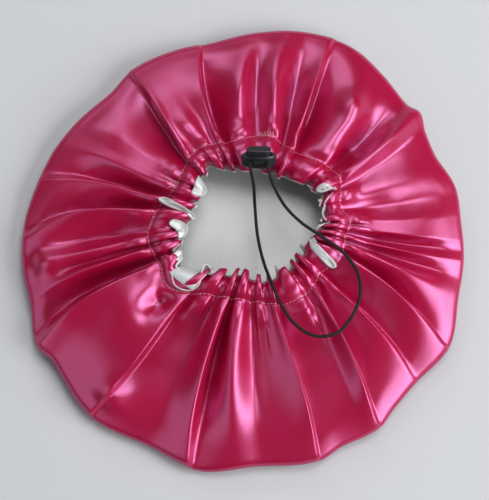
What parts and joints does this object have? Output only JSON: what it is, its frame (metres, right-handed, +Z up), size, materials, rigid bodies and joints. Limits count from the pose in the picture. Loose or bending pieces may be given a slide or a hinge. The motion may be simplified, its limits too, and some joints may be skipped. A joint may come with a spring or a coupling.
{
  "type": "sleep bonnet",
  "caption": "Round satin sleep bonnet lying flat, its edge gathered into a mouth by an elastic drawcord with a spring cord lock.",
  "frame": {"origin": "middle of the bonnet's bounding box in plan, on the flat underside that it lies on", "axes": "+Z up through the gathered mouth, +X to the right and +Y away from the viewer, with the cord lock on the +Y side of the mouth"},
  "size_m": [0.3606, 0.3642, 0.0661],
  "materials": {
    "rose_satin": "glossy satin",
    "silver_satin": "glossy satin",
    "black_elastic": "braided",
    "black_plastic": "semi-matte moulded"
  },
  "bodies": {
    "bonnet": {"outer_shell": "rose_satin", "lining": "silver_satin", "drawcord_ring": "black_elastic", "drawcord_loop": "black_elastic", "cord_lock_body": "black_plastic"},
    "button": {"cord_lock_button": "black_plastic"}
  },
  "joints": [
    {"name": "button_press", "type": "slide", "parent": "bonnet", "child": "button", "axis": [0, 0.6428, 0.766], "range_m": [-0.003, 0], "stiffness_N_per_m": 400, "springref_m": 0.003}
  ]
}
